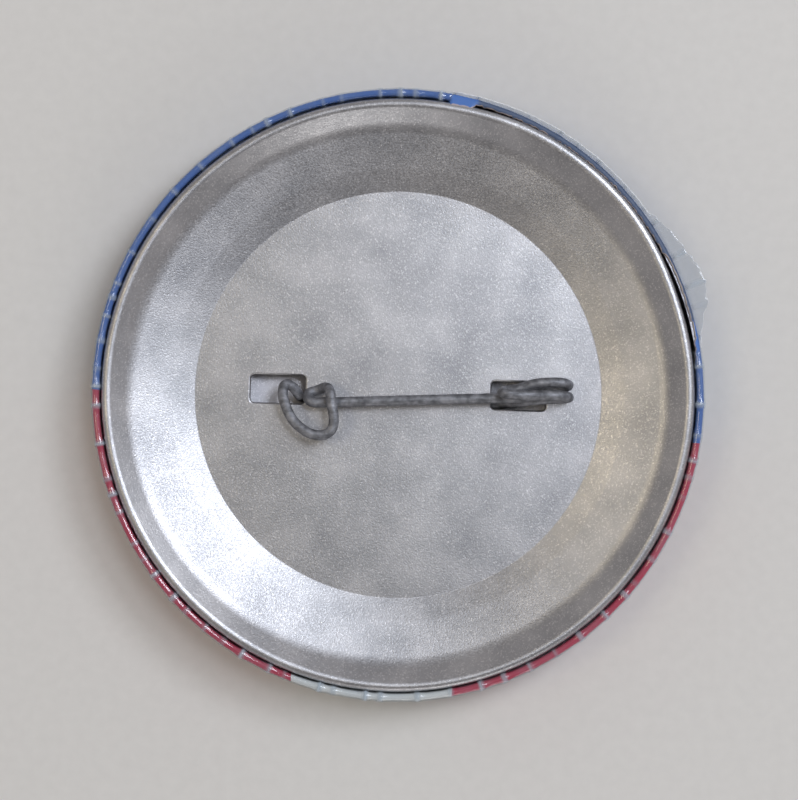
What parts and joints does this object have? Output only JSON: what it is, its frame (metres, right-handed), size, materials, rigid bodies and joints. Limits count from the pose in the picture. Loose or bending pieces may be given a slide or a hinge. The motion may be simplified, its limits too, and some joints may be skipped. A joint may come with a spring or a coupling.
{
  "type": "button badge",
  "caption": "Round pin-back button badge: a domed, film-covered printed front crimped round a dished metal back plate, with a sprung wire pin held under a wire catch.",
  "frame": {"origin": "centre of the printed face, on the flat spot at the middle of the dome", "axes": "+Z from the printed face to the pin side, +X along the pin from its spring coil to its catch, +Y to the left of that seen from the pin side"},
  "size_m": [0.0572, 0.0572, 0.0078],
  "materials": {
    "film": "clear polyester film, glossy, creased where it is gathered over the edge",
    "printed_paper": "coated paper, printed in plain blue, red and white fields",
    "shell": "bright tinplate",
    "back_plate": "satin tinplate with fine grain and light scuffs",
    "wire": "dull nickel-plated spring steel wire"
  },
  "bodies": {
    "badge": {"clear_film": "film", "printed_paper": "printed_paper", "front_shell": "shell", "back_plate": "back_plate", "catch_wire": "wire"},
    "pin": {"spring_coil": "wire", "pin_arm": "wire"}
  },
  "joints": [
    {"name": "pin_swing", "type": "hinge", "parent": "badge", "child": "pin", "pos_m": [-0.01035, 0.00072, 0.0048], "axis": [-0.8191, 0, -0.5736], "range_deg": [0, 100]}
  ]
}
